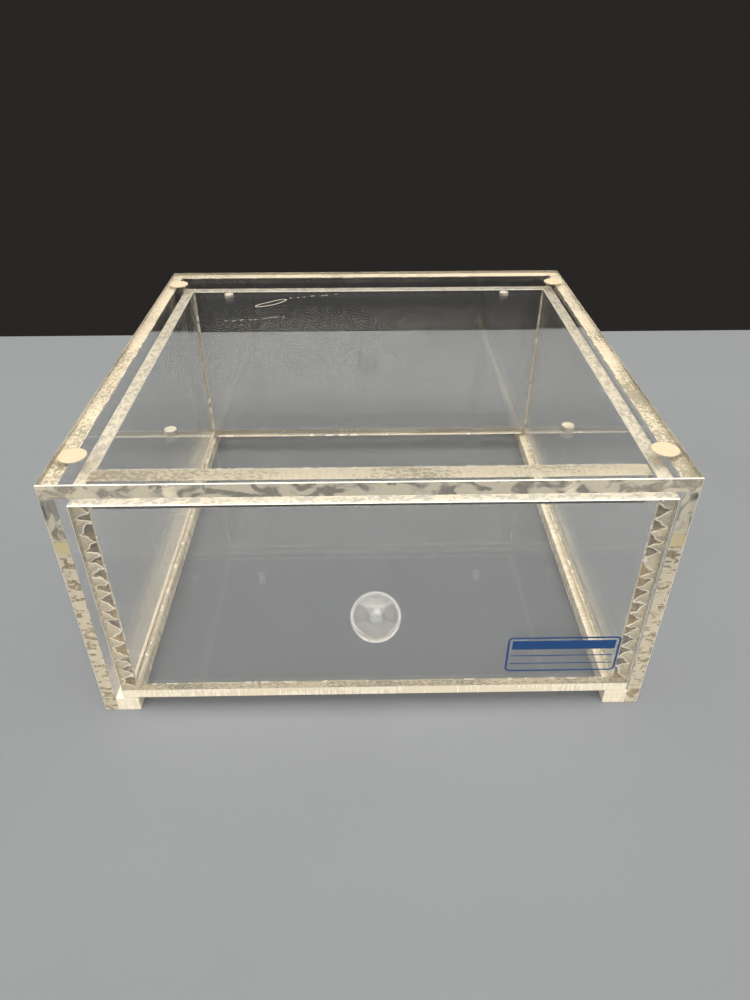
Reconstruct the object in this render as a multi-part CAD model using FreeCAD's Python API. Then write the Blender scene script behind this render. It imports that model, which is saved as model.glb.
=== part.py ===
"""Clear acrylic storage housing with a pull-out drawer, ball knob and stacking pads.

Frame: +X right, +Y back, +Z up, millimetres. The origin is the middle of the
whole object's footprint, knob included, on the surface that the runners stand on.
"""

import FreeCAD, Part
import math
import os

# Housing, which is open at the front and at the bottom
housing_width = 304.8
housing_depth = 304.0
housing_height = 153.9
housing_sheet = 7.5
runner_width = 12.7
runner_height = 9.5

# Stop bar, bonded under the top plate just behind the drawer's front panel
stop_length = 264.0
stop_section = 9.5
stop_gap = 0.3           # between the bar and the panel of a closed drawer

# Round holes through the top plate, one near each corner
hole_diameter = 6.35
hole_inset_x = 50.8
hole_inset_y = 50.8

# Round stacking pads, stuck on top near the corners
pad_diameter = 13.5
pad_thickness = 0.5
pad_inset_x = 9.5
pad_inset_front = 25.4
pad_inset_rear = 28.4
pad_edge_radius = 0.2

# Drawer
drawer_sheet = 7.5
drawer_floor = 6.35
knob_diameter = 25.4
knob_flat_diameter = 11.0
knob_rise = 1.7          # knob's centre above the middle of the front panel

# Fits
slide_clearance = 0.3    # under the drawer, above the runners
side_clearance = 2.75    # each side of a centred drawer
rest_shift = 1.75        # the drawer stands this far right of centre, within its play
top_clearance = 4.1      # above the drawer, under the top plate
rear_clearance = 12.5    # behind a closed drawer
cement = 0.05            # film of cement between bonded sheets
arris = 0.4              # broken edge on exposed sheet edges

# Knob: a ball with a flat that is bonded to the front panel
knob_radius = knob_diameter / 2
knob_centre_reach = cement + math.sqrt(knob_radius**2 - (knob_flat_diameter / 2)**2)
knob_reach = knob_centre_reach + knob_radius

# Faces of the housing
half_width = housing_width / 2
front = -(housing_depth - knob_reach) / 2
rear = front + housing_depth
inner_half_width = half_width - housing_sheet
wall_top = housing_height - housing_sheet - cement
rear_wall_front = rear - housing_sheet

# Faces of the closed drawer
drawer_left = rest_shift - inner_half_width + side_clearance
drawer_right = rest_shift + inner_half_width - side_clearance
drawer_back_face = rear_wall_front - rear_clearance
drawer_bottom_face = runner_height + slide_clearance
drawer_top_face = housing_height - housing_sheet - top_clearance
panel_back = front + drawer_sheet
bay_front = panel_back + cement
floor_top = drawer_bottom_face + drawer_floor
standing_on_floor = floor_top + cement


def sheet(x, y, z):
    """A flat sheet, given as its (low, high) pair along each axis."""
    size = [high - low for low, high in (x, y, z)]
    return Part.makeBox(*size, FreeCAD.Vector(x[0], y[0], z[0]))


def on_plane(edge, axis, value):
    """True if the whole edge lies in the plane where axis equals value."""
    box = edge.BoundBox
    low, high = {"x": (box.XMin, box.XMax), "y": (box.YMin, box.YMax),
                 "z": (box.ZMin, box.ZMax)}[axis]
    return abs(low - value) < 1e-6 and abs(high - value) < 1e-6


def break_edges(solid, *places):
    """Chamfer each edge that lies in all the planes of one of the places."""
    picked = [
        edge for edge in solid.Edges
        if any(all(on_plane(edge, axis, value) for axis, value in place) for place in places)
    ]
    return solid.makeChamfer(arris, picked)


def corners(inset_x, inset_front, inset_rear):
    """Centres near the four corners of the top, as (name, x, y)."""
    for end, y in (("front", front + inset_front), ("rear", rear - inset_rear)):
        for side, sign in (("left", -1), ("right", 1)):
            yield f"{end}_{side}", sign * (half_width - inset_x), y


def top_plate():
    """Top sheet with four round through holes."""
    plate = sheet((-half_width, half_width), (front, rear),
                  (housing_height - housing_sheet, housing_height))
    plate = break_edges(
        plate,
        [("z", housing_height)],
        *[[("x", x), ("y", y)] for x in (-half_width, half_width) for y in (front, rear)])
    for _, x, y in corners(hole_inset_x, hole_inset_y, hole_inset_y):
        base = FreeCAD.Vector(x, y, housing_height - 2 * housing_sheet)
        plate = plate.cut(Part.makeCylinder(hole_diameter / 2, 3 * housing_sheet, base))
    return plate


def side_wall(sign):
    """Side sheet, full depth, standing on the surface; sign is -1 left, 1 right."""
    x = sorted((sign * half_width, sign * inner_half_width))
    wall = sheet(x, (front, rear), (0, wall_top))
    return break_edges(
        wall,
        [("x", sign * half_width), ("y", front)],
        [("x", sign * half_width), ("y", rear)],
        [("x", sign * half_width), ("z", 0)])


def rear_wall():
    """Rear sheet between the side walls, standing on the ends of the runners."""
    half = inner_half_width - cement
    wall = sheet((-half, half), (rear_wall_front, rear), (runner_height + cement, wall_top))
    return break_edges(wall, [("y", rear), ("z", runner_height + cement)])


def runner(sign):
    """Strip inside a side wall's foot that carries the drawer."""
    outer = inner_half_width - cement
    x = sorted((sign * outer, sign * (outer - runner_width)))
    strip = sheet(x, (front, rear), (0, runner_height))
    inner_face = sign * (outer - runner_width)
    return break_edges(
        strip,
        [("x", inner_face), ("z", runner_height)],
        [("x", inner_face), ("z", 0)],
        [("x", inner_face), ("y", front)])


def stop_bar():
    """Square bar between the drawer's sides that meets the drawer's front and back."""
    near = panel_back + stop_gap
    far = near + stop_section
    half = stop_length / 2
    foot = wall_top - stop_section
    bar = sheet((-half, half), (near, far), (foot, wall_top))
    return break_edges(
        bar,
        [("y", near), ("z", foot)],
        [("y", far), ("z", foot)],
        [("x", -half), ("z", foot)],
        [("x", half), ("z", foot)])


def stacking_pad(x, y):
    """Flat round pad with a rounded upper rim."""
    base = FreeCAD.Vector(x, y, housing_height)
    disc = Part.makeCylinder(pad_diameter / 2, pad_thickness, base)
    rim = [edge for edge in disc.Edges if on_plane(edge, "z", housing_height + pad_thickness)]
    return disc.makeFillet(pad_edge_radius, rim)


def drawer_front():
    """Front panel, standing on the floor sheet and flush with the housing's front."""
    panel = sheet((drawer_left, drawer_right), (front, panel_back),
                  (standing_on_floor, drawer_top_face))
    return break_edges(
        panel,
        [("y", front), ("z", drawer_top_face)],
        [("y", panel_back), ("z", drawer_top_face)],
        [("y", front), ("x", drawer_left)],
        [("y", front), ("x", drawer_right)])


def drawer_side(outer_face, sign):
    """Side sheet behind the front panel, standing on the floor sheet."""
    inner_face = outer_face - sign * drawer_sheet
    side = sheet(sorted((outer_face, inner_face)), (bay_front, drawer_back_face),
                 (standing_on_floor, drawer_top_face))
    return break_edges(
        side,
        [("x", outer_face), ("z", drawer_top_face)],
        [("x", inner_face), ("z", drawer_top_face)],
        [("x", outer_face), ("y", drawer_back_face)])


def drawer_back():
    """Back sheet between the drawer's sides."""
    inset = drawer_sheet + cement
    back = sheet((drawer_left + inset, drawer_right - inset),
                 (drawer_back_face - drawer_sheet, drawer_back_face),
                 (standing_on_floor, drawer_top_face))
    return break_edges(
        back,
        [("y", drawer_back_face), ("z", drawer_top_face)],
        [("y", drawer_back_face - drawer_sheet), ("z", drawer_top_face)])


def drawer_bottom():
    """Floor sheet under the drawer's four walls."""
    floor = sheet((drawer_left, drawer_right), (front, drawer_back_face),
                  (drawer_bottom_face, floor_top))
    return break_edges(floor, [("z", drawer_bottom_face)])


def knob():
    """Ball with a flat, bonded to the middle of the front panel."""
    middle = (standing_on_floor + drawer_top_face) / 2
    centre = FreeCAD.Vector(rest_shift, front - knob_centre_reach, middle + knob_rise)
    ball = Part.makeSphere(knob_radius, centre, FreeCAD.Vector(0, -1, 0))
    half = knob_radius + arris
    behind_flat = sheet((centre.x - half, centre.x + half),
                        (front - cement, front + knob_radius),
                        (centre.z - half, centre.z + half))
    return ball.cut(behind_flat)


def build():
    """All the pieces by node name."""
    pieces = {
        "top_plate": top_plate(),
        "left_wall": side_wall(-1),
        "right_wall": side_wall(1),
        "rear_wall": rear_wall(),
        "left_runner": runner(-1),
        "right_runner": runner(1),
        "stop_bar": stop_bar(),
        "drawer_front": drawer_front(),
        "drawer_left_side": drawer_side(drawer_left, -1),
        "drawer_right_side": drawer_side(drawer_right, 1),
        "drawer_back": drawer_back(),
        "drawer_bottom": drawer_bottom(),
        "knob": knob(),
    }
    for name, x, y in corners(pad_inset_x, pad_inset_front, pad_inset_rear):
        pieces[f"stacking_pad_{name}"] = stacking_pad(x, y)
    return pieces


os.makedirs("parts", exist_ok=True)
for node, shape in build().items():
    shape.exportStep(f"parts/{node}.step")
    print(f"{node}: {shape.Volume / 1000:.2f} cm3, valid {shape.isValid()}")
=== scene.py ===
import math
import random

import bmesh
import bpy
from mathutils import Matrix, Vector, noise


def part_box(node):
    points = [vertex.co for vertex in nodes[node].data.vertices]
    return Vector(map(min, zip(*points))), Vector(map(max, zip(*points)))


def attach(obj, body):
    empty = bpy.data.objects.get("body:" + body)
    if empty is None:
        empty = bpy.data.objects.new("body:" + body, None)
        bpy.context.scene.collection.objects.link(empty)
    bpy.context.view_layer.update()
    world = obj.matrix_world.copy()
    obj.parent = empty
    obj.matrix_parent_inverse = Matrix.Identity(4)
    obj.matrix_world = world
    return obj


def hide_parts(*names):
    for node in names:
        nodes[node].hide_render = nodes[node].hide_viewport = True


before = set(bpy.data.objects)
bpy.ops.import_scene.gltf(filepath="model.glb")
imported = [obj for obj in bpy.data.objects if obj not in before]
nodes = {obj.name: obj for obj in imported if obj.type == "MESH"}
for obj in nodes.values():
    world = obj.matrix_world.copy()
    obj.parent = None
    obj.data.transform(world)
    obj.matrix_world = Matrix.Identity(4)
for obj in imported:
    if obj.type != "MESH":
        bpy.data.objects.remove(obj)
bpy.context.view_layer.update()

MM = 0.001
X, Y, Z = Vector((1, 0, 0)), Vector((0, 1, 0)), Vector((0, 0, 1))

# ---------------------------------------------------------------- colours, scene-linear
CLEAR = (0.995, 0.995, 0.99)
WARM_CLEAR = (0.985, 0.955, 0.88)
TAN_CLEAR = (0.90, 0.80, 0.64)
CREAM = (0.90, 0.78, 0.58)
PALE_CREAM = (0.96, 0.89, 0.74)
# Painted reflection: the lit bottom edge, as the bright lines of the drawer sides' zigzag
PAINTED_REFLECTION_BRIGHT = (1.0, 0.96, 0.86)
OLIVE = (0.42, 0.38, 0.29)
# Painted reflection: the tan of the dark gaps in the drawer sides' zigzag
PAINTED_GAP_TAN = (0.62, 0.46, 0.30)
WARM_BAND = (0.95, 0.84, 0.52)
# Painted reflection: the ash grey of the dark gaps in the drawer sides' zigzag
PAINTED_GAP_ASH = (0.30, 0.29, 0.28)
WEAR_WHITE = (0.80, 0.78, 0.74)
PAD_CREAM = (0.50, 0.42, 0.30)
PRINT_BLUE = (0.004, 0.045, 0.16)
FLOOR_GREY = (0.150, 0.160, 0.175)


# ---------------------------------------------------------------- node helpers
def feed(tree, socket, value):
    """Give the socket a link if the value is itself a socket, and a constant otherwise."""
    if isinstance(value, bpy.types.NodeSocket):
        tree.links.new(value, socket)
    else:
        socket.default_value = value


def add(tree, kind, **inputs):
    """A new node with these inputs, each a constant or a socket."""
    node = tree.nodes.new(kind)
    for name, value in inputs.items():
        feed(tree, node.inputs[name.replace("_", " ")], value)
    return node


def grain(tree, scale, stretch=(1, 1, 1), detail=3.0, turn=(0, 0, 0), rough=0.5, warp=0.0):
    """Noise fixed to the piece, from 0 to 1; scale is in features per metre."""
    place = add(tree, "ShaderNodeTexCoord").outputs["Object"]
    turned = add(tree, "ShaderNodeMapping", Vector=place, Rotation=turn)
    mapped = add(tree, "ShaderNodeMapping", Vector=turned.outputs[0], Scale=stretch)
    texture = add(tree, "ShaderNodeTexNoise", Vector=mapped.outputs[0], Scale=scale,
                  Detail=detail, Roughness=rough, Distortion=warp)
    return texture.outputs["Fac"]


def between(tree, value, low, high, start=0.0, end=1.0):
    """Maps low..high smoothly onto start..end."""
    node = add(tree, "ShaderNodeMapRange")
    node.interpolation_type = "SMOOTHSTEP"
    tree.links.new(value, node.inputs["Value"])
    for name, number in (("From Min", low), ("From Max", high), ("To Min", start), ("To Max", end)):
        node.inputs[name].default_value = number
    return node.outputs["Result"]


def calculate(tree, kind, operation, first, second):
    """A math node of either kind, working on two values, each a constant or a socket."""
    node = tree.nodes.new(kind)
    node.operation = operation
    feed(tree, node.inputs[0], first)
    feed(tree, node.inputs[1], second)
    return node


def math_node(tree, operation, first, second):
    """Arithmetic on two numbers."""
    return calculate(tree, "ShaderNodeMath", operation, first, second).outputs[0]


def vector_node(tree, operation, first, second):
    """Arithmetic on two vectors; the node is returned, because its outputs differ."""
    return calculate(tree, "ShaderNodeVectorMath", operation, first, second)


def mixed(tree, factor, first, second):
    """Blend of two colours, each a tuple or a socket."""
    node = tree.nodes.new("ShaderNodeMix")
    node.data_type = "RGBA"
    tree.links.new(factor, node.inputs[0])
    for socket, value in ((node.inputs[6], first), (node.inputs[7], second)):
        feed(tree, socket, (*value, 1) if isinstance(value, tuple) else value)
    return node.outputs[2]


def principled(name, colour, **constants):
    """A material with one Principled shader; constants go on its own sockets."""
    material = bpy.data.materials.new(name)
    material.use_nodes = True
    shader = material.node_tree.nodes["Principled BSDF"]
    shader.inputs["Base Color"].default_value = (*colour, 1)
    for key, value in constants.items():
        shader.inputs[key.replace("_", " ")].default_value = value
    return material, material.node_tree, shader


def bumped(tree, shader, height, distance, strength=1.0):
    """Roughen the shader's surface: a height of 1 stands for the distance, in metres."""
    bump = add(tree, "ShaderNodeBump", Height=height, Distance=distance, Strength=strength)
    tree.links.new(bump.outputs[0], shader.inputs["Normal"])


def along(axis, ahead, aside):
    """A stretch with one value along the axis and another across it."""
    return tuple(ahead if name == axis else aside for name in "xyz")


# ---------------------------------------------------------------- finishes
GLASS = {"Transmission_Weight": 1.0, "IOR": 1.49}


def coordinate(tree, axis):
    """The piece's own x, y or z, in metres."""
    place = add(tree, "ShaderNodeTexCoord").outputs["Object"]
    return add(tree, "ShaderNodeSeparateXYZ", Vector=place).outputs[axis.upper()]


def scratches(tree, turns, density):
    """Thin straight rub marks in several directions, as a mask from 0 to 1."""
    total = None
    for turn in turns:
        fine = grain(tree, 110, stretch=(0.3, 10, 10), detail=1, turn=turn)
        streak = between(tree, fine, 1 - density, 1 - density + 0.015)
        total = streak if total is None else math_node(tree, "MAXIMUM", total, streak)
    return total


def clear_face(name, density):
    """Polished face of a cast sheet: clear, with a little haze and fine rub marks."""
    material, tree, shader = principled(name, CLEAR, **GLASS)
    haze = between(tree, grain(tree, 14, detail=4), 0.55, 0.8, 0.0, 0.006)
    marks = scratches(tree, [(0, 0, 0.3), (0, 0.4, 1.9), (0.5, 0, 2.7)], density)
    patches = between(tree, grain(tree, 9, detail=2), 0.52, 0.64)
    rub = math_node(tree, "MULTIPLY", math_node(tree, "MULTIPLY", marks, patches), 0.22)
    tree.links.new(math_node(tree, "ADD", haze, rub), shader.inputs["Roughness"])
    tint = mixed(tree, patches, CLEAR, tuple(0.995 * c for c in CLEAR))
    tree.links.new(tint, shader.inputs["Base Color"])
    return material


def frosted_below(tree, axis, level, colour, rough, haze):
    """Frost an upright edge below a level, under a warm band.

    The edge's colour, roughness and haze go in, and their new values come out.
    """
    height = coordinate(tree, axis)
    frost = between(tree, height, level - 1 * MM, level, 1.0, 0.0)
    band = math_node(tree, "MULTIPLY", frost,
                     between(tree, height, level - 9 * MM, level - 7 * MM))
    ripple = grain(tree, 150, stretch=along(axis, 2.0, 1.1), detail=3, warp=1.0)
    solid = between(tree, ripple, 0.38, 0.54)
    cells = mixed(tree, solid, TAN_CLEAR, PALE_CREAM)
    colour = mixed(tree, frost, colour, cells)
    colour = mixed(tree, band, colour, WARM_BAND)
    rough = math_node(tree, "ADD", rough, math_node(tree, "MULTIPLY", frost, 0.12))
    cover = math_node(tree, "MAXIMUM", between(tree, solid, 0, 1, 0.15, 1.15), band)
    haze = math_node(tree, "MAXIMUM", math_node(tree, "MULTIPLY", frost, cover),
                     math_node(tree, "MULTIPLY", haze,
                               math_node(tree, "SUBTRACT", 1, frost)))
    return colour, rough, haze


def polished_edge(name, axis, clear, hazy, patches=100, across=True, frost_below=None):
    """Edge of a sheet, polished over faint saw ripples, with a few hazy stretches.

    clear and hazy are the transmitted shares of the clear ground and of the hazy patches,
    which come at patches per metre. The ripples run across the edge's length or along it.
    An upright edge can be frosted below a height.
    """
    material, tree, shader = principled(name, CLEAR, Transmission_Weight=0.8, IOR=1.49)
    lines = along(axis, 5.0, 0.3) if across else along(axis, 0.3, 5.0)
    saw = grain(tree, 110, stretch=lines, detail=3)
    patch = grain(tree, patches, stretch=along(axis, 1.0, 1.6), detail=2, warp=0.8)
    haze = between(tree, patch, 0.36, 0.60)
    rough = between(tree, haze, 0, 1, 0.0, 0.12)
    colour = mixed(tree, haze, WARM_CLEAR, PALE_CREAM)
    if frost_below:
        colour, rough, haze = frosted_below(tree, axis, frost_below, colour, rough, haze)
    tree.links.new(between(tree, haze, 0, 1, clear, hazy), shader.inputs["Transmission Weight"])
    tree.links.new(rough, shader.inputs["Roughness"])
    tree.links.new(colour, shader.inputs["Base Color"])
    bumped(tree, shader, saw, 0.12 * MM)
    return material


def cut_edge(name, axis, clear):
    """Edge of a sheet, sawn across its length and half polished: clear and frosted stretches.

    clear is the transmitted share.
    """
    material, tree, shader = principled(name, WARM_CLEAR, Transmission_Weight=clear, IOR=1.49)
    saw = grain(tree, 130, stretch=along(axis, 6.0, 0.5), detail=4)
    patch = grain(tree, 26, stretch=along(axis, 1.0, 4.0), detail=3)
    both = math_node(tree, "ADD", math_node(tree, "MULTIPLY", saw, 0.5),
                     math_node(tree, "MULTIPLY", patch, 0.5))
    frost = between(tree, both, 0.42, 0.58)
    tree.links.new(mixed(tree, frost, TAN_CLEAR, PALE_CREAM), shader.inputs["Base Color"])
    tree.links.new(between(tree, frost, 0, 1, 0.04, 0.36), shader.inputs["Roughness"])
    swell = grain(tree, 60, stretch=along(axis, 2.0, 1.0), detail=2)
    height = math_node(tree, "ADD", math_node(tree, "MULTIPLY", swell, 0.8),
                       math_node(tree, "MULTIPLY", saw, 0.2))
    bumped(tree, shader, height, 0.6 * MM)
    return material


def seam(name, axis, clear, thins_between=None):
    """Bonded face: sawn acrylic under cement, cream with clear wetted specks and marks.

    Where thins_between is given, the specks thin out from its first place on the axis to its
    second.
    """
    material, tree, shader = principled(name, CREAM, Transmission_Weight=clear, IOR=1.49)
    saw = grain(tree, 120, stretch=along(axis, 8.0, 0.6), detail=5)
    speck = grain(tree, 420, stretch=along(axis, 1.0, 1.5), detail=4, rough=0.7)
    patch = grain(tree, 22, detail=3)
    wetted = math_node(tree, "ADD", math_node(tree, "MULTIPLY", speck, 0.6),
                       math_node(tree, "MULTIPLY", patch, 0.4))
    if thins_between:
        thinning = between(tree, coordinate(tree, axis), *thins_between, 0.05, -0.08)
        wetted = math_node(tree, "ADD", wetted, thinning)
    bubbles = between(tree, wetted, 0.50, 0.56)
    cream = mixed(tree, between(tree, saw, 0.35, 0.65), CREAM, PALE_CREAM)
    tree.links.new(mixed(tree, bubbles, cream, OLIVE), shader.inputs["Base Color"])
    tree.links.new(between(tree, saw, 0.3, 0.7, 0.35, 0.6), shader.inputs["Roughness"])
    bumped(tree, shader, saw, 0.08 * MM, 0.8)
    return material


def painted_zigzag_reflection_seam(name, outer_x, inner_x):
    """Upright bonded face with a painted reflection: the lit bottom edge, seen again and again in a
    zigzag between its two long sides, as bright lines over pale and dark facets.
    """
    folds_per_metre = 115
    material, tree, shader = principled(name, CREAM, Transmission_Weight=0.6, IOR=1.49)
    across = add(tree, "ShaderNodeMapRange", Value=coordinate(tree, "x"))
    across.inputs["From Min"].default_value = outer_x
    across.inputs["From Max"].default_value = inner_x
    stray = grain(tree, 90, detail=2)
    rise = math_node(tree, "MULTIPLY", coordinate(tree, "z"), folds_per_metre)
    rise = math_node(tree, "ADD", rise, math_node(tree, "MULTIPLY", stray, 1.6))
    fold = math_node(tree, "PINGPONG", rise, 0.5)
    fold = math_node(tree, "MULTIPLY", fold, 2.0)
    offset = math_node(tree, "SUBTRACT", across.outputs["Result"], fold)
    # Painted reflection: a bright line where the lit bottom edge shows again along the zigzag
    line = between(tree, math_node(tree, "ABSOLUTE", offset, 0), 0.05, 0.17, 1.0, 0.0)
    # Painted reflection: the facets on one side of the zigzag are pale, on the other dark
    painted_reflection_facet = between(tree, offset, -0.04, 0.04)
    # Painted reflection: the dark gaps between the reflected copies
    painted_gap_grey = mixed(tree, between(tree, stray, 0.4, 0.6), PAINTED_GAP_ASH, PAINTED_GAP_TAN)
    painted_reflection_ground = mixed(tree, painted_reflection_facet, PALE_CREAM, painted_gap_grey)
    # Colour: the painted reflection's bright lines over its pale and dark facets
    tree.links.new(mixed(tree, line, painted_reflection_ground, PAINTED_REFLECTION_BRIGHT), shader.inputs["Base Color"])
    solid = math_node(tree, "MAXIMUM", line, between(tree, painted_reflection_facet, 0, 1, 0.45, 0.0))
    tree.links.new(between(tree, solid, 0, 1, 0.85, 0.15), shader.inputs["Transmission Weight"])
    tree.links.new(between(tree, line, 0, 1, 0.12, 0.45), shader.inputs["Roughness"])
    bumped(tree, shader, fold, 0.8 * MM, 0.7)
    return material


def arris_finish():
    """Broken edge, scraped bright."""
    material, tree, shader = principled("acrylic_arris", PALE_CREAM, Transmission_Weight=0.25,
                                        IOR=1.49)
    chatter = grain(tree, 700, detail=3)
    tree.links.new(between(tree, chatter, 0.3, 0.7, 0.2, 0.5), shader.inputs["Roughness"])
    tint = mixed(tree, between(tree, chatter, 0.4, 0.6), PALE_CREAM, WARM_CLEAR)
    tree.links.new(tint, shader.inputs["Base Color"])
    return material


def drilled_finish():
    """Wall of a drilled hole, with fine turning rings."""
    material, tree, shader = principled("acrylic_drilled", PALE_CREAM, Transmission_Weight=0.3,
                                        IOR=1.49)
    rings = grain(tree, 250, stretch=(0.3, 0.3, 12), detail=2)
    tree.links.new(between(tree, rings, 0.35, 0.65, 0.25, 0.55), shader.inputs["Roughness"])
    tint = mixed(tree, between(tree, rings, 0.4, 0.6), PALE_CREAM, WARM_CLEAR)
    tree.links.new(tint, shader.inputs["Base Color"])
    bumped(tree, shader, rings, 0.06 * MM)
    return material


def ball_finish():
    """Polished ball, with a few faint rub marks."""
    material, tree, shader = principled("acrylic_ball", CLEAR, **GLASS)
    marks = scratches(tree, [(0, 0, 0.4), (0.9, 0, 1.2)], 0.25)
    tree.links.new(math_node(tree, "MULTIPLY", marks, 0.04), shader.inputs["Roughness"])
    tint = mixed(tree, between(tree, grain(tree, 60), 0.3, 0.7), CLEAR, (0.99, 0.98, 0.95))
    tree.links.new(tint, shader.inputs["Base Color"])
    return material


def pad_finish():
    """Smooth opaque cream plastic, a little mottled."""
    material, tree, shader = principled("pad_cream", PAD_CREAM, IOR=1.5)
    cloud = grain(tree, 160, detail=4)
    tint = mixed(tree, between(tree, cloud, 0.35, 0.65), PAD_CREAM,
                 tuple(0.93 * c for c in PAD_CREAM))
    tree.links.new(tint, shader.inputs["Base Color"])
    tree.links.new(between(tree, cloud, 0.3, 0.7, 0.32, 0.5), shader.inputs["Roughness"])
    bumped(tree, shader, grain(tree, 900, detail=2), 0.02 * MM, 0.5)
    return material


def print_finish():
    """Screen-printed ink with slightly uneven cover."""
    material, tree, shader = principled("print_blue", PRINT_BLUE, IOR=1.5)
    cover = grain(tree, 900, detail=4)
    tint = mixed(tree, between(tree, cover, 0.35, 0.65), PRINT_BLUE, (0.008, 0.06, 0.22))
    tree.links.new(tint, shader.inputs["Base Color"])
    tree.links.new(between(tree, cover, 0.3, 0.7, 0.38, 0.6), shader.inputs["Roughness"])
    return material


def bead_finish():
    """Set cement: glassy, slightly cloudy and warm."""
    material, tree, shader = principled("cement_bead", WARM_CLEAR, Transmission_Weight=0.6,
                                        IOR=1.46)
    cloud = grain(tree, 120, detail=3)
    tint = mixed(tree, between(tree, cloud, 0.4, 0.65), PALE_CREAM, WARM_CLEAR)
    tree.links.new(tint, shader.inputs["Base Color"])
    tree.links.new(between(tree, cloud, 0.3, 0.7, 0.08, 0.35), shader.inputs["Roughness"])
    return material


# ---------------------------------------------------------------- finishes put on the CAD nodes
ARRIS = arris_finish()
DRILLED = drilled_finish()
FACE = clear_face("acrylic_face", 0.20)
TOP_FACE = clear_face("acrylic_top_face", 0.23)
ROOF_EDGE = polished_edge("acrylic_roof_edge", "x", 0.78, 0.46)
ROOF_SIDE = cut_edge("acrylic_roof_side", "y", 0.5)
WALL_EDGE = polished_edge("acrylic_wall_edge", "z", 0.90, 0.55, patches=80, across=False,
                          frost_below=122 * MM)
FOOT_EDGE = {axis: cut_edge(f"acrylic_foot_edge_{axis}", axis, 0.12) for axis in "xy"}
RIM = {axis: polished_edge(f"acrylic_rim_{axis}", axis, 0.62, 0.35, patches=240) for axis in "xy"}
REAR_EDGE = cut_edge("acrylic_rear_edge", "x", 0.12)
WALL_REAR = cut_edge("acrylic_wall_rear", "z", 0.5)
DRAWER_EDGE = cut_edge("acrylic_drawer_edge", "z", 0.5)
housing_front, housing_rear = (corner.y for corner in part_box("left_wall"))
WALL_SEAM = seam("acrylic_wall_seam", "y", 0.2, (housing_front, housing_rear))
SEAM = {axis: seam(f"acrylic_seam_{axis}", axis, 0.15) for axis in "xyz"}
BAR_SEAM = seam("acrylic_bar_seam", "x", 0.6)
PAD = pad_finish()
BEAD = bead_finish()


def dress(node, sides):
    """Finish each side of a sheet: sides maps '-x' and so on to a material, else FACE."""
    mesh = nodes[node].data
    low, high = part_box(node)
    planes = [(sign + axis, index, corner[index]) for index, axis in enumerate("xyz")
              for sign, corner in (("-", low), ("+", high))]
    margin = 5 * MM  # the drilled holes are further than this from the sheet's edges
    mesh.materials.clear()
    used = []
    for polygon in mesh.polygons:
        material = ARRIS
        for side, index, place in planes:
            if abs(polygon.center[index] - place) < 1e-6 and abs(polygon.normal[index]) > 0.99:
                material = sides.get(side, FACE)
        inside = all(low[i] + margin < polygon.center[i] < high[i] - margin for i in (0, 1))
        if material is ARRIS and inside and abs(polygon.normal.z) < 0.1:
            material = DRILLED
        if material not in used:
            used.append(material)
            mesh.materials.append(material)
        polygon.material_index = used.index(material)


dress("top_plate", {"+z": TOP_FACE, "-x": ROOF_SIDE, "+x": ROOF_SIDE, "-y": ROOF_EDGE,
                    "+y": REAR_EDGE})
dress("stop_bar", {"+z": BAR_SEAM, "-x": ROOF_SIDE, "+x": ROOF_SIDE})
for side in ("left", "right"):
    inner, outer = ("+x", "-x") if side == "left" else ("-x", "+x")
    dress(f"{side}_wall", {"-y": WALL_EDGE, "+y": WALL_REAR, "-z": FOOT_EDGE["y"],
                           "+z": WALL_SEAM})
    dress(f"{side}_runner", {"-y": FOOT_EDGE["x"], "+y": SEAM["x"], inner: FOOT_EDGE["y"],
                             outer: SEAM["y"], "+z": FOOT_EDGE["y"], "-z": FOOT_EDGE["y"]})
    low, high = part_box(f"drawer_{side}_side")
    outer_x, inner_x = (low.x, high.x) if side == "left" else (high.x, low.x)
    # The drawer sides' front faces carry a painted zigzag reflection of the lit bottom edge
    dress(f"drawer_{side}_side",
          {"-y": painted_zigzag_reflection_seam(f"acrylic_painted_zigzag_reflection_{side}", outer_x, inner_x), "+y": DRAWER_EDGE,
           "+z": RIM["y"], "-z": SEAM["y"]})
dress("rear_wall", {"+z": SEAM["x"], "-z": FOOT_EDGE["x"], "-x": SEAM["z"], "+x": SEAM["z"]})
dress("drawer_front", {"+z": RIM["x"], "-z": SEAM["x"], "-x": DRAWER_EDGE, "+x": DRAWER_EDGE})
dress("drawer_back", {"+z": RIM["x"], "-z": SEAM["x"], "-x": SEAM["z"], "+x": SEAM["z"]})
dress("drawer_bottom", {"-y": FOOT_EDGE["x"], "+y": FOOT_EDGE["x"], "-x": FOOT_EDGE["y"],
                        "+x": FOOT_EDGE["y"]})

for name, node in nodes.items():
    if name.startswith("stacking_pad"):
        node.data.materials.clear()
        node.data.materials.append(PAD)


# ---------------------------------------------------------------- pieces
def piece(name, body, verts, faces, material, smooth=False):
    """A new closed mesh object that rides on a body, with all its faces turned outwards."""
    mesh = bpy.data.meshes.new(name)
    mesh.from_pydata([tuple(v) for v in verts], [], faces)
    mesh.update()
    mesh.materials.append(material)
    for polygon in mesh.polygons:
        polygon.use_smooth = smooth
    made = bpy.data.objects.new(name, mesh)
    bpy.context.scene.collection.objects.link(made)
    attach(made, body)
    work = bmesh.new()
    work.from_mesh(mesh)
    bmesh.ops.recalc_face_normals(work, faces=work.faces)
    work.to_mesh(mesh)
    work.free()
    return made


# The outline of a fillet, as shares of its reach along the two sheets
FILLET = ((0, 0), (1, 0), (0.55, 0.12), (0.3, 0.3), (0.12, 0.55), (0, 1))


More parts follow.
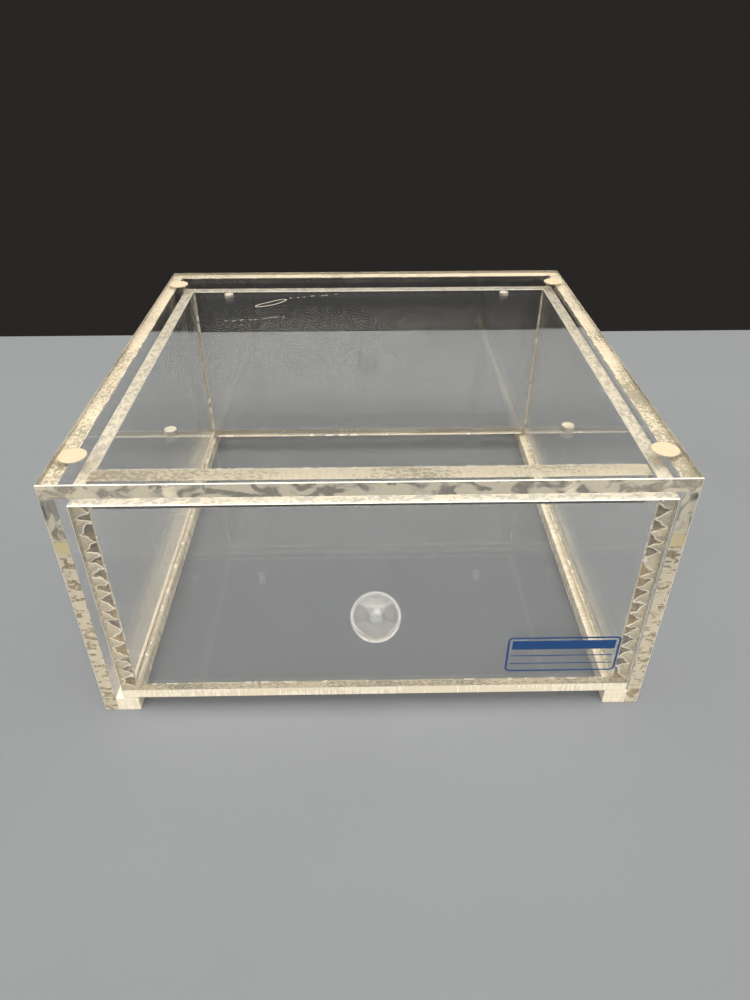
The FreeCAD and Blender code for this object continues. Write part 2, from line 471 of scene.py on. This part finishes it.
def bead(name, body, start, end, first, second, size, seed):
    """Cement squeezed into the inside corner between two sheets, as a small uneven fillet.

    first and second point away from the corner, along the two sheets' faces.
    """
    start, end = Vector(start), Vector(end)
    stretch = 4 * MM
    gap = 0.03 * MM
    count = max(8, int((end - start).length / stretch))
    verts, faces = [], []
    for step in range(count + 1):
        base = start.lerp(end, step / count) + first * gap + second * gap
        wobble = noise.noise(Vector((step * 0.17, seed, 0))) * 0.35
        taper = 0.15 if step in (0, count) else 1.0
        width = size * (1 + wobble) * taper
        height = size * (1 - 0.6 * wobble) * taper
        verts += [base + first * width * out + second * height * up for out, up in FILLET]
    ring = len(FILLET)
    for step in range(count):
        for k in range(ring):
            a, b = step * ring + k, step * ring + (k + 1) % ring
            faces.append((a, b, b + ring, a + ring))
    faces.append(tuple(range(ring)))
    faces.append(tuple(count * ring + k for k in range(ring)))
    piece(name, body, verts, faces, BEAD)


def drawer_beads():
    """Fillets of cement in the inside corners of the drawer."""
    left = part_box("drawer_left_side")[1].x
    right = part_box("drawer_right_side")[0].x
    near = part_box("drawer_front")[1].y
    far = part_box("drawer_back")[0].y
    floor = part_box("drawer_bottom")[1].z
    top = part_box("drawer_back")[1].z - 2 * MM
    inset = 1.5 * MM
    size = 1.0 * MM
    runs = {
        "floor_left": ((left, near + inset, floor), (left, far - inset, floor), X, Z),
        "floor_right": ((right, near + inset, floor), (right, far - inset, floor), -X, Z),
        "floor_front": ((left + inset, near, floor), (right - inset, near, floor), Y, Z),
        "floor_back": ((left + inset, far, floor), (right - inset, far, floor), -Y, Z),
        "front_left": ((left, near, floor + inset), (left, near, top), X, Y),
        "front_right": ((right, near, floor + inset), (right, near, top), -X, Y),
        "back_left": ((left, far, floor + inset), (left, far, top), X, -Y),
        "back_right": ((right, far, floor + inset), (right, far, top), -X, -Y),
    }
    for count, (name, run) in enumerate(runs.items()):
        bead(f"cement_bead_drawer_{name}", "drawer", *run, size, seed=count * 7.3)


def housing_beads():
    """Fillets of cement under the top plate and behind, inside the housing."""
    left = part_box("left_wall")[1].x
    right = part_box("right_wall")[0].x
    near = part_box("top_plate")[0].y
    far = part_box("rear_wall")[0].y
    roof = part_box("top_plate")[0].z
    bar_low, bar_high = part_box("stop_bar")
    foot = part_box("rear_wall")[0].z
    inset = 1.5 * MM
    size = 0.6 * MM
    runs = {
        "top_left": ((left, near + inset, roof), (left, far - inset, roof), X, -Z),
        "top_right": ((right, near + inset, roof), (right, far - inset, roof), -X, -Z),
        "top_rear": ((left + inset, far, roof), (right - inset, far, roof), -Y, -Z),
        "bar_rear": ((bar_low.x + inset, bar_high.y, roof), (bar_high.x - inset, bar_high.y, roof),
                     Y, -Z),
        "rear_left": ((left, far, foot + inset), (left, far, roof - inset), X, -Y),
        "rear_right": ((right, far, foot + inset), (right, far, roof - inset), -X, -Y),
    }
    for count, (name, run) in enumerate(runs.items()):
        bead(f"cement_bead_housing_{name}", "housing", *run, size, seed=60 + count * 5.1)


def pad_adhesive():
    """Cream adhesive under each stacking pad: a thin disc just inside the top plate's face."""
    depth, thickness, margin = 0.06 * MM, 0.03 * MM, 0.15 * MM
    steps = 48
    for name in [name for name in nodes if name.startswith("stacking_pad")]:
        low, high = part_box(name)
        centre = Vector(((low.x + high.x) / 2, (low.y + high.y) / 2, low.z - depth))
        radius = (high.x - low.x) / 2 - margin
        verts = [centre + Vector((radius * math.cos(2 * math.pi * step / steps),
                                  radius * math.sin(2 * math.pi * step / steps), lift))
                 for lift in (0, thickness) for step in range(steps)]
        faces = [tuple(range(steps)), tuple(range(steps, 2 * steps))]
        for step in range(steps):
            after = (step + 1) % steps
            faces.append((step, after, steps + after, steps + step))
        piece(name.replace("stacking_pad", "pad_adhesive"), "housing", verts, faces, PAD)


def ball_knob():
    """Ball with a flat, turned round its own axis, which points out of the front panel."""
    low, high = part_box("knob")
    radius = (high.x - low.x) / 2
    centre = Vector(((low.x + high.x) / 2, low.y + radius, (low.z + high.z) / 2))
    flat_angle = math.acos((low.y + radius - high.y) / radius)
    rings, steps = 72, 144
    verts = [centre + Vector((0, -radius, 0))]
    for ring in range(1, rings + 1):
        angle = flat_angle * ring / rings
        for step in range(steps):
            turn = 2 * math.pi * step / steps
            verts.append(centre + radius * Vector((math.sin(angle) * math.cos(turn),
                                                   -math.cos(angle),
                                                   math.sin(angle) * math.sin(turn))))
    faces = [(0, 1 + (step + 1) % steps, 1 + step) for step in range(steps)]
    for ring in range(rings - 1):
        for step in range(steps):
            a, b = 1 + ring * steps + step, 1 + ring * steps + (step + 1) % steps
            faces.append((a, b, b + steps, a + steps))
    faces.append(tuple(1 + (rings - 1) * steps + step for step in range(steps)))
    made = piece("ball_knob", "drawer", verts, faces, ball_finish(), smooth=True)
    made.data.polygons[-1].use_smooth = False
    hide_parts("knob")


def rounded_outline(width, height, radius, steps=8):
    """Points round a rounded rectangle centred on the origin."""
    points = []
    for corner, (sx, sz) in enumerate(((1, 1), (-1, 1), (-1, -1), (1, -1))):
        for step in range(steps + 1):
            angle = math.pi / 2 * (corner + step / steps)
            points.append((sx * (width / 2 - radius) + radius * math.cos(angle),
                           sz * (height / 2 - radius) + radius * math.sin(angle)))
    return points


def label():
    """Blank write-on label printed on the front panel: outline, header bar and ruled lines."""
    panel_low, panel_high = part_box("drawer_front")
    width, height, radius, line = 61 * MM, 26 * MM, 3 * MM, 1.1 * MM
    centre_x = panel_high.x - 10 * MM - width / 2
    centre_z = panel_low.z + 24 * MM
    back, thickness = panel_low.y - 0.02 * MM, 0.06 * MM
    ruled_half = width / 2 - 2.6 * MM
    header_bar = (10.4 * MM, 6.5 * MM)
    ruled_lines = ((-0.5 * MM, 0.7 * MM), (-6.5 * MM, 0.7 * MM))
    verts, faces = [], []

    def slab(loops, closed):
        """Solid ink between two matching loops of points, from the panel outwards."""
        count = len(loops[0])
        first = len(verts)
        for depth in (0, thickness):
            for loop in loops:
                verts.extend((centre_x + px, back - depth, centre_z + pz) for px, pz in loop)
        for k in range(count if closed else count - 1):
            n = (k + 1) % count
            for a, b in ((0, 1), (1, 3), (3, 2), (2, 0)):
                faces.append(tuple(first + row * count + col
                                   for row, col in ((a, k), (a, n), (b, n), (b, k))))
        if not closed:
            for k in (0, count - 1):
                faces.append(tuple(first + row * count + k for row in (0, 1, 3, 2)))

    slab([rounded_outline(width, height, radius),
          rounded_outline(width - 2 * line, height - 2 * line, radius - line)], True)
    for top, thick in (header_bar, *ruled_lines):
        slab([[(-ruled_half, top), (ruled_half, top)],
              [(-ruled_half, top - thick), (ruled_half, top - thick)]], False)
    piece("write_on_label", "drawer", verts, faces, print_finish())


def scratch_finish():
    """Crumbled white acrylic, in a scratch."""
    material, tree, shader = principled("wear_scratch", WEAR_WHITE, IOR=1.45)
    cover = grain(tree, 1500, detail=3)
    tree.links.new(mixed(tree, between(tree, cover, 0.4, 0.6), WEAR_WHITE, CREAM),
                   shader.inputs["Base Color"])
    tree.links.new(between(tree, cover, 0.3, 0.7, 0.5, 0.8), shader.inputs["Roughness"])
    return material


def oval_scratch():
    """Points round a loose slanted oval, in mm from the middle of the top's front edge."""
    centre_x, centre_y = -68.5, 233.5
    half_length, half_width, waver = 12.5, 3.2, 0.5
    turn = math.radians(35)
    points = []
    for step in range(25):
        angle = 2 * math.pi * step / 24 + 0.3
        ahead = half_length * math.cos(angle)
        aside = (half_width + waver * math.sin(3 * angle)) * math.sin(angle)
        points.append((centre_x + ahead * math.cos(turn) - aside * math.sin(turn),
                       centre_y + ahead * math.sin(turn) + aside * math.cos(turn)))
    return points


def wear_marks():
    """White scratches near the rear left of the top: a loose oval, and two rows of dashes."""
    material = scratch_finish()
    low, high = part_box("top_plate")
    front, top, lift = low.y, high.z + 0.01 * MM, 0.03 * MM
    verts, faces = [], []

    def stroke(points, width):
        """A thin raised line through points given in mm from the middle of the front edge."""
        path = [Vector((x * MM, front + y * MM, top)) for x, y in points]
        first = len(verts)
        for index, point in enumerate(path):
            ahead = path[min(index + 1, len(path) - 1)] - path[max(index - 1, 0)]
            side = Vector((-ahead.y, ahead.x, 0)).normalized() * width / 2 * MM
            up = Vector((0, 0, lift))
            verts.extend((point - side, point + side, point + side + up, point - side + up))
        for index in range(len(path) - 1):
            for k in range(4):
                a, b = first + index * 4 + k, first + index * 4 + (k + 1) % 4
                faces.append((a, b, b + 4, a + 4))
        for end in (0, len(path) - 1):
            faces.append(tuple(first + end * 4 + k for k in range(4)))

    stroke(oval_scratch(), 0.4)
    rows = (((-57, 244), (-20, 252), 7), ((-97, 199), (-54, 207), 9))
    chance = random.Random(7)
    for (x0, y0), (x1, y1), count in rows:
        for k in range(count):
            share = (k + chance.uniform(0.1, 0.7)) / count
            x, y = x0 + (x1 - x0) * share, y0 + (y1 - y0) * share + chance.uniform(-1.2, 1.2)
            reach, slope = chance.uniform(0.3, 1.3), chance.uniform(-0.3, 0.9)
            stroke([(x - reach, y - reach * slope), (x + reach, y + reach * slope)],
                   chance.uniform(0.25, 0.45))
    piece("wear_scratches", "housing", verts, faces, material)


drawer_beads()
housing_beads()
pad_adhesive()
ball_knob()
label()
wear_marks()


# ---------------------------------------------------------------- stage, light, camera
def floor():
    """Plain pale table top, just under the object; the studio beyond it is dark."""
    half_x, half_y = 0.60, 0.418
    below = 0.2 * MM
    mesh = bpy.data.meshes.new("floor")
    mesh.from_pydata([(x, y, -below) for x, y in ((-half_x, -half_y), (half_x, -half_y),
                                                  (half_x, half_y), (-half_x, half_y))],
                     [], [(0, 1, 2, 3)])
    made = bpy.data.objects.new("floor", mesh)
    bpy.context.scene.collection.objects.link(made)
    material, tree, shader = principled("floor_paint", FLOOR_GREY)
    cloud = grain(tree, 3, detail=3)
    tint = mixed(tree, between(tree, cloud, 0.3, 0.7), FLOOR_GREY,
                 tuple(1.04 * c for c in FLOOR_GREY))
    tree.links.new(tint, shader.inputs["Base Color"])
    shader.inputs["Roughness"].default_value = 0.9
    shader.inputs["Specular IOR Level"].default_value = 0.1
    mesh.materials.append(material)


def softbox(tree, direction, aim, edge, core, colour):
    """A round soft light in the sky towards aim, as a colour to be added.

    edge and core are the cosines at which its glow starts and is full.
    """
    facing = vector_node(tree, "DOT_PRODUCT", direction, Vector(aim).normalized())
    spread = between(tree, facing.outputs["Value"], edge, core)
    return mixed(tree, spread, (0, 0, 0), colour)


def studio():
    """Soft light from overhead, the front and the sides; the horizon is dark.

    The dark horizon keeps the upright sheets clear of glare.
    """
    world = bpy.data.worlds.new("studio")
    bpy.context.scene.world = world
    world.use_nodes = True
    tree = world.node_tree
    direction = add(tree, "ShaderNodeTexCoord").outputs["Generated"]
    overhead = ((0, -0.10, 1.0), 0.77, 0.79, (3.3, 3.15, 2.9))
    key = ((0.12, -0.32, 1.0), 0.960, 0.968, (5.0, 4.8, 4.4))
    front = ((0, -0.70, 0.71), 0.84, 0.92, (2.8, 2.7, 2.4))
    sides = [((x, -0.1, 0.55), 0.88, 0.90, (1.3, 1.25, 1.15)) for x in (-1.0, 1.0)]
    ambient = (0.022, 0.020, 0.019)
    total = softbox(tree, direction, *overhead)
    for box in (key, front, *sides):
        total = vector_node(tree, "ADD", total, softbox(tree, direction, *box)).outputs[0]
    lit = vector_node(tree, "ADD", total, ambient)
    tree.links.new(lit.outputs[0], tree.nodes["Background"].inputs["Color"])


def camera():
    """Camera in front of the object and above it, looking down on it."""
    place = Vector((-0.00254, -0.41541, 0.33569))
    yaw, pitch, roll = math.radians(0.887), math.radians(34.847), math.radians(0.159)
    ahead = Vector((math.sin(yaw) * math.cos(pitch), math.cos(yaw) * math.cos(pitch),
                    -math.sin(pitch)))
    right = Vector((math.cos(yaw), -math.sin(yaw), 0))
    down = ahead.cross(right)
    image_x = right * math.cos(roll) + down * math.sin(roll)
    image_y = down * math.cos(roll) - right * math.sin(roll)
    lens = bpy.data.cameras.new("camera")
    lens.lens = 26.2
    lens.sensor_width = 36
    lens.clip_start, lens.clip_end = 0.01, 100
    made = bpy.data.objects.new("camera", lens)
    turn = Matrix((image_x, -image_y, -ahead)).transposed()
    made.matrix_world = Matrix.Translation(place) @ turn.to_4x4()
    bpy.context.scene.collection.objects.link(made)
    bpy.context.scene.camera = made


floor()
studio()
camera()

# Light passes through many clear sheets, and is never blurred on the way
scene = bpy.context.scene
scene.cycles.max_bounces = 32
scene.cycles.transmission_bounces = 32
scene.cycles.glossy_bounces = 12
scene.cycles.diffuse_bounces = 4
scene.cycles.sample_clamp_indirect = 4
scene.cycles.blur_glossy = 0
scene.view_settings.view_transform = "Standard"
